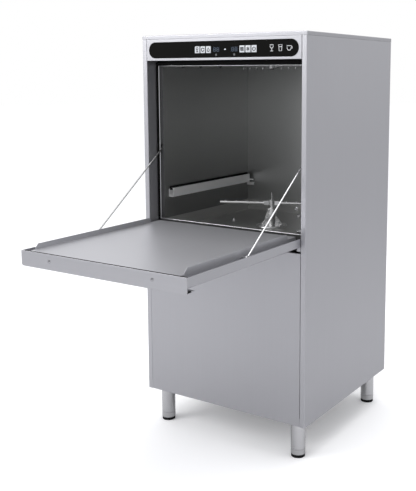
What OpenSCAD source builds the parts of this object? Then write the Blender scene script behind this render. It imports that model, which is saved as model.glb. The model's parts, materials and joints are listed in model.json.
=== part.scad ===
// Glass washer with a drop-down door, standing on four adjustable legs.
// The door is modelled open, level with the lower edge of the wash chamber.
// Origin: on the floor, in the middle of the box round the machine with its door open.
// +X is the machine's right seen from the front, -Y is towards the user, +Z is up.

/* [Cabinet] */
// Width over the side panels
body_w = 600; // [560:5:640]
// Depth of the cabinet without the open door
body_d = 585; // [575:5:620]
// Height of the cabinet above its legs
body_h = 1166; // [1162:2:1190]
// Clear height under the cabinet
leg_h = 114; // [105:1:140]
// Diameter of the leg tubes
leg_dia = 45; // [38:1:50]
// Thickness of the stainless sheet
sheet = 1.2; // [1:0.1:1.5]
// Width of the front face of each side pillar
pillar_w = 17; // [15:0.5:20]

/* [Door] */
// How far the open door reaches in front of the cabinet
door_reach = 535; // [530:1:540]
// Height of the open door's outer skin above the bottom of the cabinet
door_rise = 531; // [528:1:535]
// Thickness of the door
door_t = 42; // [40:1:44]
// Distance of the hinge axis from the outer skin
hinge_inset = 10; // [9:0.5:11]
// Diameter of the two stay rods
rod_dia = 4.5; // [4:0.5:5]

/* [Wash system] */
// Half length of the lower rinse arm
rinse_reach = 178; // [150:1:200]
// Half length of the lower wash arm
wash_reach = 165; // [130:1:190]
// Outer diameter of the wash water pipes
pipe_dia = 25; // [20:1:26]
// Diameter of the rinse boiler
boiler_dia = 180; // [150:5:190]

/* [Controls] */
// Side distance between neighbouring keys
key_pitch = 21; // [20.5:0.5:22]
// How far a key travels when it is pressed
key_travel = 0.8; // [0.5:0.1:1]

/* [Hidden] */
$fn = 48;

// Cut depth past a face, and the gap between neighbouring sheets
eps = 0.5;
gap = 0.6;
// The cabinet's front face, so that the origin is the middle of the whole
front_y = (door_reach - body_d) / 2;
half_w = body_w / 2;
body_top = leg_h + body_h;
skirt_h = 12;
// Outer radius of the sheet's folds, and of the lid's edges
fold = 2;
lid_edge = 2.5;
pillar_x = half_w - pillar_w;
// Front openings, from the bottom up
sill_z = leg_h + door_rise - 3;
door_z = leg_h + door_rise;
fascia_z = door_z + 2 * hinge_inset + door_reach + 2;
// Door hinge axis and door outline while it is open
hinge_y = hinge_inset;
hinge_z = door_z + hinge_inset;
door_x = pillar_x - 0.7;
door_back = 2 * hinge_inset;
door_top = door_z + door_t;
// Recess along the lower side edges of the door
door_step = 17;
door_ledge = 36;
// Stay rods: their lower pivots and the guides stay the same distance from the hinge axis,
// and swing about it half as fast as the door
rod_side = 272;
rod_pin_reach = 275;
rod_pin_rise = door_t - hinge_inset - 6;
rod_pin_y = hinge_y - rod_pin_reach;
rod_pin_z = hinge_z + rod_pin_rise;
rod_arm = sqrt(rod_pin_reach * rod_pin_reach + rod_pin_rise * rod_pin_rise);
// Angle between pivot and guide at rest: 90 degrees of door travel, and 6 left over
rod_open = 96;
guide_dir = 180 - atan(rod_pin_rise / rod_pin_reach) - rod_open;
guide_y = hinge_y + rod_arm * cos(guide_dir);
guide_z = hinge_z + rod_arm * sin(guide_dir);
rod_span = 2 * rod_arm * sin(rod_open / 2);
rod_tilt = (180 - rod_open) / 2 - atan(rod_pin_rise / rod_pin_reach);
rod_tail = 62;
pivot_dia = 5;
door_screws = [-176, 176];
// Wash chamber
chamber_x = 261;
chamber_front = 51;
chamber_back = 550;
lip_z = leg_h + 574;
mouth_z = leg_h + 1071;
ceiling_z = leg_h + 1108;
tank_z = leg_h + 536;
arm_y = (chamber_front + chamber_back) / 2;
rail_z = leg_h + 673;
// Spray arms, by the height of their middle
wash_z = tank_z + 52;
rinse_z = tank_z + 78;
top_wash_z = mouth_z + 20;
top_rinse_z = mouth_z + 2;
spindle_dia = 12;
run_clear = 0.05;
// Sump in the tank floor, at the front right
sump = [130, 250, 80, 200];
sump_z = tank_z - 50;
heater_z = tank_z + 13;
overflow = [220, 112];
suction = [165, 160];
// Wash pump axis and water pipe route
pump_x = 165;
pump_z = leg_h + 196;
pump_y = 205;
feed_x = 117;
feed_z = leg_h + 316;
bend = 40;
top_bend = 32;
riser_y = 566;
top_run_z = ceiling_z + 30;
// Rear service recess
service_y = 548;
service_z = 232;
inlet_at = [-110, 178];
drain_at = [overflow[0], 165];
spigot_dia = 32;
gland_at = [-200, 178];
rear_y = body_d - 3;
// Control panel
panel_z = leg_h + 1120;
overlay_w = 546;
overlay_h = 50;
overlay_t = 0.8;
key_w = 17.5;
key_h = 20;
key_z = panel_z - 1;
key_centre = 21;
display_off = 33;
display_w = 26;
display_h = 15;
board_y = 16;
switch_y = board_y - 6;
stem_dia = 6;
key_x = [for (i = [-5, -4, -3, 3, 4, 5]) key_centre + i * key_pitch + (i < 0 ? 2 : -2)];
// Legs
leg_x = half_w - 47;
leg_front = 46;
leg_back = body_d - 20 - leg_dia / 2;
foot_h = 26;
stud_dia = 12;
stud_top = 91;
pan_flange = 25;
pan_t = 1.5;
plate_top = 5.5;

steel = [0.74, 0.75, 0.78];
dark_steel = [0.42, 0.43, 0.43];
black = [0.06, 0.06, 0.07];

// Everything below is drawn from the cabinet's front face
module from_front() {
    translate([0, front_y, 0]) children();
}

module block(x0, x1, y0, y1, z0, z1) {
    translate([x0, y0, z0]) cube([x1 - x0, y1 - y0, z1 - z0]);
}

module both_sides() {
    children();
    mirror([1, 0, 0]) children();
}

// Cylinders along X and Y, starting at the given point
module rod_x(p, d, h) {
    translate(p) rotate([0, 90, 0]) cylinder(d = d, h = h);
}

module rod_y(p, d, h) {
    translate(p) rotate([-90, 0, 0]) cylinder(d = d, h = h);
}

module rod_z(p, d, h) {
    translate(p) cylinder(d = d, h = h);
}

// Flat rounded rectangle in the X-Z plane, centred on x, z, thickness going back from y
module rounded_plate(x, z, w, h, r, y, t) {
    translate([x, y, z]) rotate([90, 0, 0]) mirror([0, 0, 1]) linear_extrude(t) {
        square([w - 2 * r, h], center = true);
        square([w, h - 2 * r], center = true);
        for (sx = [-1, 1], sz = [-1, 1])
            translate([sx * (w / 2 - r), sz * (h / 2 - r)]) circle(r);
    }
}

// Hollow pipe along Z
module pipe(d, h, wall = 1.5) {
    difference() {
        cylinder(d = d, h = h);
        translate([0, 0, -eps]) cylinder(d = d - 2 * wall, h = h + 2 * eps);
    }
}

module pipe_z(p, d, h, wall = 1.5) {
    translate(p) pipe(d, h, wall);
}

module pipe_y(p, d, h, wall = 1.5) {
    translate(p) rotate([-90, 0, 0]) pipe(d, h, wall);
}

module pipe_x(p, d, h, wall = 1.5) {
    translate(p) rotate([0, 90, 0]) pipe(d, h, wall);
}

// Quarter bend: from the point p along +Z, turning towards the direction dir (about Z)
module elbow(p, d, r, dir = 0, wall = 1.5) {
    translate(p) rotate([0, 0, dir]) translate([r, 0, 0]) rotate([90, 0, 0])
        rotate([0, 0, 90]) rotate_extrude(angle = 90) translate([r, 0]) difference() {
            circle(d = d);
            circle(d = d - 2 * wall);
        }
}

// Cabinet ---------------------------------------------------------------

// Floor pan of the machinery space, with a stiff plate over each leg
module base_pan() color(steel) from_front() {
    pan_x = half_w - 2 * sheet - gap;
    pan_end = rear_y - gap;
    difference() {
        union() {
            difference() {
                block(-pan_x, pan_x, 2.4, pan_end, leg_h, leg_h + pan_flange);
                block(-pan_x + pan_t, pan_x - pan_t, 2.4 + pan_t, pan_end - pan_t,
                    leg_h + pan_t, leg_h + pan_flange + 1);
            }
            both_sides() for (y = [leg_front, leg_back])
                block(leg_x - 18, leg_x + 18, y - 18, y + 18, leg_h + pan_t, leg_h + plate_top);
        }
        both_sides() for (y = [leg_front, leg_back]) rod_z([leg_x, y, leg_h - 1], 10.4, 12);
    }
}

// Four stainless tubes, each closed by a plug with a thread for the foot
module leg_tubes() color(steel) from_front() {
    both_sides() for (y = [leg_front, leg_back]) translate([leg_x, y, 0]) {
        difference() {
            rod_z([0, 0, foot_h + gap], leg_dia, leg_h - foot_h - gap);
            rod_z([0, 0, foot_h - eps], leg_dia - 4, 20);
            rod_z([0, 0, foot_h], stud_dia + 0.2, stud_top + 4 - foot_h);
            rod_z([0, 0, leg_h - 14], 10, 15);
        }
    }
}

// Upright quarter-round fold of the sheet about x, y, starting at the given angle
module fold_z(x, y, angle, z0, z1) {
    translate([x, y, z0]) rotate([0, 0, angle]) rotate_extrude(angle = 90)
        translate([fold - sheet, 0]) square([sheet, z1 - z0]);
}

// One folded sheet: outer face, pillar face, recess cheek beside the door and rear return
module side_panel() {
    top = body_top - skirt_h;
    cheek_z = leg_h + pan_flange + 2;
    difference() {
        union() {
            block(half_w - sheet, half_w, fold, body_d - fold, leg_h, top);
            fold_z(half_w - fold, fold, 270, leg_h, top);
            block(pillar_x + fold, half_w - fold, 0, sheet, leg_h, top);
            block(pillar_x, pillar_x + fold, 0, sheet, leg_h, cheek_z);
            fold_z(pillar_x + fold, fold, 180, cheek_z, top);
            block(pillar_x, pillar_x + sheet, fold, 44, cheek_z, top);
            fold_z(half_w - fold, body_d - fold, 0, leg_h, top);
            block(pillar_x, half_w - fold, body_d - sheet, body_d, leg_h, top);
        }
        rod_x([pillar_x - 1, hinge_y, hinge_z], 12, 3);
    }
}

module side_panel_right() color(steel) from_front() side_panel();

module side_panel_left() color(steel) from_front() mirror([1, 0, 0]) side_panel();

// Back sheet with cooling louvres and, at the bottom, a recess for the connections
module rear_panel() color(steel) from_front() {
    edge = pillar_x - gap;
    difference() {
        union() {
            block(-edge, edge, rear_y, rear_y + sheet, service_z, body_top - skirt_h);
            block(-edge, edge, service_y, rear_y + sheet, service_z, service_z + sheet);
            block(-edge, edge, service_y, service_y + sheet, leg_h + pan_t, service_z);
        }
        both_sides() block(leg_x - 20, pillar_x, service_y - 1, service_y + 3, leg_h, leg_h + 14);
        for (row = [0:7], col = [-1, 0, 1])
            block(col * 120 - 42, col * 120 + 42, rear_y - 1, rear_y + 3,
                300 + row * 18, 305 + row * 18);
        rod_y([inlet_at[0], service_y - 1, inlet_at[1]], 28, 4);
        rod_y([drain_at[0], service_y - 1, drain_at[1]], 33, 4);
        rod_y([gland_at[0], service_y - 1, gland_at[1]], 20.4, 4);
    }
}

// Outline of the lid seen along one side: flat below, with rounded upper corners
module lid_profile(w) {
    low = body_top - skirt_h + 0.4;
    translate([-w / 2, low]) square([w, skirt_h - 0.4 - lid_edge]);
    translate([lid_edge - w / 2, low]) square([w - 2 * lid_edge, skirt_h - 0.4]);
    for (s = [-1, 1]) translate([s * (w / 2 - lid_edge), body_top - lid_edge]) circle(lid_edge);
}

// Lid with a short skirt all round
module top_panel() color(steel) from_front() {
    difference() {
        intersection() {
            translate([0, body_d, 0]) rotate([90, 0, 0]) linear_extrude(body_d)
                lid_profile(body_w);
            translate([-half_w, body_d / 2, 0]) rotate([90, 0, 90]) linear_extrude(body_w)
                lid_profile(body_d);
        }
        block(-half_w + sheet, half_w - sheet, sheet, body_d - sheet,
            body_top - skirt_h - 1, body_top - sheet);
    }
}

module key_holes(y, t) {
    for (x = key_x) rod_y([x, y, key_z], stem_dia + 0.6, t);
    for (s = [-1, 1]) {
        x = key_centre + s * display_off;
        block(x - display_w / 2, x + display_w / 2, y, y + t, key_z - display_h / 2,
            key_z + display_h / 2);
        block(x - 3, x + 3, y, y + t, key_z - 19, key_z - 13);
    }
    rod_y([key_centre, y, key_z], 6, t);
}

// Front sheet above the door, with the holes for keys and displays
module control_fascia() color(steel) from_front() {
    edge = pillar_x - gap;
    difference() {
        union() {
            block(-edge, edge, 0, sheet, fascia_z, body_top - skirt_h);
            block(-edge, edge, 0, 42, fascia_z, fascia_z + sheet);
            block(-edge, edge, 0, 15, body_top - skirt_h - sheet, body_top - skirt_h);
        }
        key_holes(-1, 4);
    }
}

// Front sheet below the door
module front_lower_panel() color(steel) from_front() {
    edge = pillar_x - gap;
    block(-edge, edge, 0, sheet, leg_h + 1, sill_z);
    block(-edge, edge, sheet, 25, sill_z - 6, sill_z - 6 + sheet);
    both_sides() block(edge - sheet, edge, sheet, 20, leg_h + 40, sill_z - 6);
}

// Chamber ---------------------------------------------------------------

module chamber_wall() {
    block(chamber_x, chamber_x + sheet, chamber_front + sheet, chamber_back, lip_z, ceiling_z);
}

module chamber_wall_right() color(dark_steel) from_front() chamber_wall();

module chamber_wall_left() color(dark_steel) from_front() mirror([1, 0, 0]) chamber_wall();

module chamber_wall_back() color(dark_steel) from_front() {
    edge = chamber_x + sheet;
    block(-edge, edge, chamber_back, chamber_back + sheet, lip_z, ceiling_z);
}

module chamber_ceiling() color(dark_steel) from_front() {
    edge = chamber_x + sheet;
    difference() {
        block(-edge, edge, chamber_front + sheet, chamber_back + sheet, ceiling_z,
            ceiling_z + sheet);
        rod_z([0, arm_y, ceiling_z - 1], 20, 4);
    }
}

// Tank under the chamber, with its sump
module tank_basin() color(dark_steel) from_front() {
    edge = chamber_x + sheet;
    y0 = chamber_front + sheet;
    y1 = chamber_back + sheet;
    difference() {
        union() {
            block(-edge, edge, y0, y1, tank_z - sheet, lip_z);
            block(sump[0] - sheet, sump[1] + sheet, sump[2] - sheet, sump[3] + sheet,
                sump_z - sheet, tank_z);
        }
        block(-chamber_x, chamber_x, y0 + sheet, y1 - sheet, tank_z, lip_z + 1);
        block(sump[0], sump[1], sump[2], sump[3], sump_z, tank_z + 1);
        rod_z([0, arm_y, tank_z - 3], 20, 6);
        rod_z([overflow[0], overflow[1], sump_z - 3], 30, 6);
        rod_z([suction[0], suction[1], sump_z - 3], 30, 6);
        for (x = [212, 242]) rod_y([x, chamber_back - 2, heater_z], 10, 6);
    }
}

// Frame round the mouth of the chamber, notched where the stay rods pass
module chamber_front_frame() color(dark_steel) from_front() {
    edge = pillar_x - 1;
    difference() {
        block(-edge, edge, chamber_front, chamber_front + sheet, sill_z, ceiling_z + sheet);
        block(-chamber_x, chamber_x, chamber_front - 1, chamber_front + 3, lip_z, mouth_z);
        both_sides() block(rod_side - 5, rod_side + 5, chamber_front - 1, chamber_front + 3,
            guide_z - 17, guide_z + 8);
    }
}

// Rubber strips that the closed door presses on: two uprights and a top
module door_gasket() color(black) from_front() {
    y0 = door_t + 1.5;
    x0 = pillar_x - 3.5;
    both_sides() block(x0, pillar_x - gap, y0, chamber_front, door_top + 6, mouth_z + 3);
    block(-pillar_x + gap, pillar_x - gap, y0, chamber_front, mouth_z + 4, mouth_z + 12);
}

// Rail for the rack: a channel open at its top and ends, with a rest along its inner edge
// and a stop behind its back end
module rack_rail() {
    y0 = 74;
    y1 = 535;
    inner = chamber_x - 18;
    wall = chamber_x - 0.1;
    low = rail_z - 30;
    block(inner, inner + 4, y0, y1, rail_z - 1.5, rail_z);
    block(inner, inner + 1.5, y0, y1, low, rail_z);
    block(inner, wall, y0, y1, low, low + 1.5);
    block(wall - 1.5, wall, y0, y1, low, rail_z - 4);
    block(inner - 12, wall, y1 + 1, y1 + 9, rail_z - 24, rail_z - 19);
    block(chamber_x - 5, wall, y1 - 6, y1 + 9, rail_z - 24, rail_z - 19);
}

module rack_rail_right() color(steel) from_front() rack_rail();

module rack_rail_left() color(steel) from_front() mirror([1, 0, 0]) rack_rail();

// Plate behind each recess cheek, with the pin that the door turns on
module hinge_brackets() color(black) from_front() {
    both_sides() {
        block(pillar_x + sheet + 0.1, pillar_x + 5, hinge_y - 7, 42, hinge_z - 9, hinge_z + 30);
        rod_x([door_x - 12, hinge_y, hinge_z], 10, pillar_x - door_x + 14);
    }
}

// Steel plates with a round eye, which the stay rods slide through
module rod_guides() color(steel) from_front() {
    edge = pillar_x - 1.5;
    both_sides() difference() {
        union() {
            block(chamber_x + sheet + 1, edge, guide_y - 1.5, guide_y + 1.5,
                guide_z - 16, guide_z + 16);
            block(chamber_x + sheet + 1, chamber_x + sheet + 2.5, chamber_front + sheet,
                guide_y, guide_z - 16, guide_z + 16);
        }
        rod_y([rod_side, guide_y - 3, guide_z], rod_dia + 4.6, 6);
    }
}

// Controls --------------------------------------------------------------

// Black printed strip with round ends
module control_overlay() color(black) from_front() difference() {
    rounded_plate(0, panel_z, overlay_w, overlay_h, overlay_h / 2 - 0.01, -overlay_t, overlay_t);
    for (x = key_x)
        block(x - key_w / 2 - 0.4, x + key_w / 2 + 0.4, -2, 1, key_z - key_h / 2 - 0.4,
            key_z + key_h / 2 + 0.4);
    key_holes(-2, 3);
}

// Two display windows, two status lamps and the lamp between the displays
module display_windows() color([0.1, 0.13, 0.3]) from_front() {
    for (s = [-1, 1]) {
        x = key_centre + s * display_off;
        block(x - display_w / 2 + 0.2, x + display_w / 2 - 0.2, -0.4, 6,
            key_z - display_h / 2 + 0.2, key_z + display_h / 2 - 0.2);
        block(x - 2.8, x + 2.8, -0.4, 6, key_z - 18.8, key_z - 13.2);
    }
    rod_y([key_centre, -0.6, key_z], 5.6, 6.6);
}

// Circuit board on four posts, with one small switch behind each key
module control_board() color([0.1, 0.35, 0.2]) from_front() {
    block(-70, 150, board_y, board_y + 1.6, key_z - 24, key_z + 24);
    for (x = key_x) block(x - 4, x + 4, switch_y, board_y, key_z - 4, key_z + 4);
    for (x = [-62, 142], z = [-20, 20]) rod_y([x, sheet, key_z + z], 6, board_y - sheet);
    block(60, 130, board_y + 1.6, board_y + 26, key_z - 18, key_z + 18);
}

// A key: cap, stem through the fascia and a collar that holds it in
module key(i) color([0.9, 0.9, 0.9]) from_front() {
    x = key_x[i];
    face = -overlay_t - 1.2;
    block(x - key_w / 2, x + key_w / 2, face, face + 1.1, key_z - key_h / 2, key_z + key_h / 2);
    rod_y([x, face + 1, key_z], stem_dia, switch_y - 0.2 - key_travel - face - 1);
}

module key_1() key(0);

module key_2() key(1);

module key_3() key(2);

module key_4() key(3);

module key_5() key(4);

module key_6() key(5);

// Wash system -----------------------------------------------------------

// Round foot with four gussets, a column and the spindle that both lower arms turn on
module lower_arm_support() color(steel) from_front() translate([0, arm_y, tank_z]) {
    column_d = 22;
    column_h = wash_z - tank_z - 9.3;
    difference() {
        union() {
            cylinder(d = 104, h = 1.5);
            translate([0, 0, 1.5]) cylinder(d = 92, h = 3);
            cylinder(d = column_d, h = column_h);
            cylinder(d = spindle_dia, h = rinse_z - tank_z + 10);
            translate([0, 0, wash_z - tank_z + 9.3])
                cylinder(d = 16, h = rinse_z - wash_z - 17.6);
            translate([0, 0, rinse_z - tank_z + 8.4]) cylinder(d = 16, h = 3);
        }
        translate([0, 0, -1]) cylinder(d = 6, h = rinse_z - tank_z);
    }
    translate([0, 0, rinse_z - tank_z + 5]) cylinder(d = 3, h = 30);
    for (a = [32, 122, 212, 302]) rotate([0, 0, a]) {
        translate([0, 1.5, 4.5]) rotate([90, 0, 0]) linear_extrude(3)
            polygon([[column_d / 2 - 1, 0], [34, 0], [34, 3], [column_d / 2 - 1, column_h - 8]]);
        rotate([0, 0, 45]) translate([38, 0, 4.5]) cylinder(d = 9, h = 4);
    }
}

// The same from the ceiling down, with the water box above the ceiling
module upper_arm_support() color(steel) from_front() translate([0, arm_y, 0]) {
    difference() {
        union() {
            rod_z([0, 0, ceiling_z - 4], 100, 4);
            rod_z([0, 0, top_wash_z + 11], 24, ceiling_z - top_wash_z - 12);
            rod_z([0, 0, top_rinse_z - 9], spindle_dia, ceiling_z - top_rinse_z + 10);
            rod_z([0, 0, ceiling_z + sheet], 44, 8);
            rod_z([0, 0, ceiling_z - 1], 19.4, 8);
        }
        rod_z([0, 0, top_rinse_z], 6, ceiling_z - top_rinse_z + 12);
    }
    rod_z([0, 0, top_rinse_z - 12], 16, 3);
    for (a = [30, 150, 270])
        rotate([0, 0, a]) translate([40, 0, ceiling_z - 8]) cylinder(d = 9, h = 4);
}

// Square tube with slotted top or bottom, turning on a round hub
module wash_arm(reach, up) {
    tube_w = 22;
    tube_h = 13;
    difference() {
        union() {
            block(-reach, reach, -tube_w / 2, tube_w / 2, -tube_h / 2, tube_h / 2);
            rod_z([0, 0, -9], 36, 18);
        }
        for (s = [-1, 1]) {
            x0 = s < 0 ? -reach + 1.5 : 20;
            block(x0, x0 + reach - 21.5, -tube_w / 2 + 1.5, tube_w / 2 - 1.5,
                -tube_h / 2 + 1.5, tube_h / 2 - 1.5);
            for (i = [0:3])
                block(s * (45 + i * 32) - 1.5, s * (45 + i * 32) + 1.5, -7, 7,
                    up ? 0 : -tube_h, up ? tube_h : 0);
        }
        rod_z([0, 0, -12], spindle_dia + 2 * run_clear, 24);
    }
}

// Thin round tube with nozzles, held in a hub by two collars
module rinse_arm(reach, up) {
    tube_d = 9;
    nozzle_h = up ? 3.5 : 8;
    difference() {
        union() {
            rod_x([-reach, 0, 0], tube_d, 2 * reach);
            for (s = [-1, 1]) rod_x([s * 27 - 2.5, 0, 0], 15, 5);
            block(-25, 25, -7, 7, -7, 7);
            rod_z([0, 0, -8], 24, 16);
            for (s = [-1, 1], i = [0:3])
                rod_z([s * (50 + i * 36), 0, up ? 3 : -3 - nozzle_h], 5, nozzle_h);
        }
        rod_z([0, 0, -12], spindle_dia + 2 * run_clear, 24);
    }
}

module lower_wash_arm() color(steel) from_front()
    translate([0, arm_y, wash_z]) rotate([0, 0, -62]) wash_arm(wash_reach, true);

module lower_rinse_arm() color(steel) from_front()
    translate([0, arm_y, rinse_z]) rotate([0, 0, 24]) rinse_arm(rinse_reach, true);

module upper_wash_arm() color(steel) from_front()
    translate([0, arm_y, top_wash_z]) rotate([0, 0, -48]) wash_arm(wash_reach, false);

module upper_rinse_arm() color(steel) from_front()
    translate([0, arm_y, top_rinse_z]) rotate([0, 0, -20]) rinse_arm(rinse_reach - 20, false);

// Pipe up the back and forward over the chamber
module riser_pipe() color([0.8, 0.8, 0.82]) from_front() {
    drum_z = ceiling_z + sheet + 8.4;
    drum_top = top_run_z + pipe_dia / 2 + 2;
    pipe_z([feed_x, riser_y, feed_z + bend], pipe_dia, top_run_z - top_bend - feed_z - bend);
    elbow([feed_x, riser_y, top_run_z - top_bend], pipe_dia, top_bend, -90);
    pipe_y([feed_x, arm_y + top_bend, top_run_z], pipe_dia, riser_y - arm_y - 2 * top_bend);
    translate([feed_x, arm_y + top_bend, top_run_z]) rotate([90, 0, 0])
        elbow([0, 0, 0], pipe_dia, top_bend, 180);
    pipe_x([14, arm_y, top_run_z], pipe_dia, feed_x - top_bend - 14);
    difference() {
        rod_z([0, arm_y, drum_z], 36, drum_top - drum_z);
        rod_z([0, arm_y, drum_z - 1], 18, top_run_z - drum_z);
    }
}

// Rubber hoses: sump to pump, pump to riser, and the branch to the lower arms
module pump_hoses() color(black) from_front() {
    inlet_y = pump_y - 10;
    suction_r = inlet_y - suction[1];
    pipe_z([suction[0], suction[1], pump_z + suction_r], 30,
        sump_z - sheet - pump_z - suction_r, 3);
    translate([suction[0], suction[1] + suction_r, pump_z]) rotate([90, 0, 0])
        elbow([0, 0, 0], 30, suction_r, 90, 3);
    pipe_z([feed_x, pump_y + 25, pump_z + 78], pipe_dia, feed_z - bend - pump_z - 78);
    elbow([feed_x, pump_y + 25, feed_z - bend], pipe_dia, bend, 90);
    pipe_y([feed_x, pump_y + 25 + bend, feed_z], pipe_dia, riser_y - pump_y - 25 - 2 * bend);
    translate([feed_x, riser_y, feed_z + bend]) rotate([180, 0, 0])
        elbow([0, 0, 0], pipe_dia, bend, 90);
    branch = 30;
    run_z = tank_z - sheet - 6 - branch;
    pipe_z([feed_x, arm_y, feed_z + pipe_dia / 2 - 1], pipe_dia - 3,
        run_z - branch - feed_z - pipe_dia / 2 + 1);
    elbow([feed_x, arm_y, run_z - branch], pipe_dia - 3, branch, 180);
    pipe_x([branch, arm_y, run_z], pipe_dia - 3, feed_x - 2 * branch);
    translate([0, arm_y, run_z + branch]) rotate([180, 0, 0])
        elbow([0, 0, 0], pipe_dia - 3, branch, 0);
    pipe_z([0, arm_y, run_z + branch], pipe_dia - 3, 6);
}

// Volute of the wash pump: inlet at its front, outlet upwards
module wash_pump_casing() color([0.2, 0.2, 0.22]) from_front() {
    volute = 136;
    difference() {
        union() {
            rod_y([pump_x, pump_y, pump_z], volute, 50);
            rod_z([feed_x, pump_y + 25, pump_z], pipe_dia + 6, 78);
            rod_y([pump_x, pump_y - 9.7, pump_z], 36, 12);
        }
        rod_y([pump_x, pump_y + 4, pump_z], volute - 8, 42);
        rod_z([feed_x, pump_y + 25, pump_z + 20], pipe_dia - 3, 60);
        rod_y([pump_x, pump_y - 12, pump_z], 24, 20);
        rod_y([pump_x, pump_y + 40, pump_z], 14, 20);
    }
}

// Motor behind the volute, on two feet
module wash_pump_motor() color([0.55, 0.56, 0.58]) from_front() {
    motor_d = 112;
    y0 = pump_y + 50.2;
    difference() {
        union() {
            rod_y([pump_x, y0, pump_z], motor_d, 150);
            for (x = [-28, 28]) block(pump_x + x - 6, pump_x + x + 6, y0 + 20, y0 + 130,
                leg_h + pan_t, pump_z - 45);
            block(pump_x - 30, pump_x + 30, y0 + 40, y0 + 110, pump_z + 50, pump_z + 84);
            for (a = [0:20:340]) translate([pump_x, 0, pump_z]) rotate([0, a, 0])
                block(motor_d / 2 - 2, motor_d / 2 + 3, y0 + 12, y0 + 120, -1, 1);
        }
        rod_y([pump_x, y0 - 1, pump_z], 12 + 2 * run_clear, 140);
        rod_y([pump_x, y0 + 10, pump_z], motor_d - 10, 110);
        rod_y([pump_x, y0 + 124, pump_z], motor_d - 8, 22);
    }
}

// Shaft, impeller, rotor core and fan, turning as one
module pump_rotor() color([0.62, 0.62, 0.64]) from_front() {
    y0 = pump_y + 50.2;
    rod_y([pump_x, pump_y + 12, pump_z], 12, 170);
    rod_y([pump_x, pump_y + 30, pump_z], 100, 4);
    rod_y([pump_x, pump_y + 10, pump_z], 30, 22);
    for (a = [0:60:300]) translate([pump_x, 0, pump_z]) rotate([0, a, 0])
        block(14, 49, pump_y + 12, pump_y + 31, -1.5, 1.5);
    rod_y([pump_x, y0 + 30, pump_z], 60, 70);
    rod_y([pump_x, y0 + 126, pump_z], 40, 10);
    for (a = [0:45:315]) translate([pump_x, 0, pump_z]) rotate([0, a, 0])
        block(18, 48, y0 + 128, y0 + 142, -1, 1);
}

// Boiler for the rinse water: drum, cover flange with element heads, and a foot ring
module rinse_boiler() color([0.7, 0.71, 0.72]) from_front() translate([-150, 385, 0]) {
    z0 = leg_h + 60;
    z1 = leg_h + 470;
    difference() {
        rod_z([0, 0, z0], boiler_dia, z1 - z0);
        rod_z([0, 0, z0 + 3], boiler_dia - 6, z1 - z0 - 6);
    }
    rod_z([0, 0, z1], 110, 8);
    for (a = [0:60:300]) rotate([0, 0, a]) translate([45, 0, z1 + 8]) cylinder(d = 9, h = 6);
    for (x = [-18, 18]) rod_z([x, 0, z1 + 8], 16, 18);
    difference() {
        rod_z([0, 0, leg_h + 1.5], boiler_dia - 20, z0 - leg_h - 1.5);
        rod_z([0, 0, leg_h], boiler_dia - 26, z0 - leg_h);
    }
}

// Hairpin element low in the tank, through the back wall
module tank_heater() color([0.5, 0.48, 0.46]) from_front() {
    for (x = [212, 242]) rod_y([x, 300, heater_z], 8, chamber_back + 18 - 300);
    translate([227, 300, heater_z]) rotate([0, 0, 180]) rotate_extrude(angle = 180)
        translate([15, 0]) circle(d = 8);
    difference() {
        rod_y([227, chamber_back + sheet, heater_z], 60, 4);
        for (x = [212, 242]) rod_y([x, chamber_back - 1, heater_z], 8.4, 8);
    }
}

// Perforated plate over the sump
module tank_filter() color(steel) from_front() difference() {
    block(sump[0] - 8, sump[1] + 8, sump[2] - 8, sump[3] + 8, tank_z + 0.2, tank_z + 2.2);
    for (i = [0:7], j = [0:7])
        if (norm([sump[0] + 11 + i * 14 - overflow[0], sump[2] + 11 + j * 14 - overflow[1]]) > 22)
            rod_z([sump[0] + 11 + i * 14, sump[2] + 11 + j * 14, tank_z - 1], 7, 5);
    rod_z([overflow[0], overflow[1], tank_z - 1], 27, 5);
}

// Pipe that sets the water level: it stands in the drain and lifts out
module overflow_standpipe() color([0.75, 0.75, 0.78]) from_front()
    translate([overflow[0], overflow[1], 0]) {
        difference() {
            union() {
                rod_z([0, 0, sump_z + 0.3], 26, 86);
                rod_z([0, 0, sump_z + 0.3], 36, 4);
                rod_z([0, 0, sump_z + 80], 32, 6);
            }
            rod_z([0, 0, sump_z - 1], 22, 80);
            for (a = [0:60:300]) rotate([0, 0, a]) rod_x([8, 0, sump_z + 70], 5, 8);
        }
    }

// Solenoid valve with its threaded hose tail in the service recess
module water_inlet_valve() color([0.9, 0.9, 0.88]) from_front() {
    x = inlet_at[0];
    z = inlet_at[1];
    difference() {
        union() {
            rod_y([x, service_y + sheet + 3, z], 26.4, 24);
            rod_y([x, service_y + sheet, z], 34, 4);
            rod_y([x, service_y - 30, z], 27, 34);
            block(x - 16, x + 16, service_y - 62, service_y - 25, z - 16, z + 16);
            rod_z([x, service_y - 44, z + 15], 28, 34);
        }
        rod_y([x, service_y - 20, z], 17, 60);
    }
}

// Two small hose pumps, for detergent and rinse aid
module dosing_pumps() color([0.25, 0.3, 0.35]) from_front() {
    for (x = [-60, 20]) {
        rod_y([x, 60, leg_h + 190], 62, 34);
        rod_y([x, 94, leg_h + 190], 40, 45);
        rod_y([x, 54, leg_h + 190], 12, 6);
        for (s = [-1, 1]) pipe_z([x + s * 18, 76, leg_h + 150], 8, 12, 1.5);
        block(x - 34, x + 34, 92, 94, leg_h + 36, leg_h + 224);
    }
}

// Closed box with the contactors
module electrical_box() color([0.6, 0.61, 0.6]) from_front() {
    difference() {
        block(-255, -115, 40, 130, leg_h + 190, leg_h + 420);
        block(-253, -117, 42, 128, leg_h + 192, leg_h + 418);
    }
    for (x = [-240, -195, -150]) block(x, x + 36, 60, 127.9, leg_h + 260, leg_h + 340);
}

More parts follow.
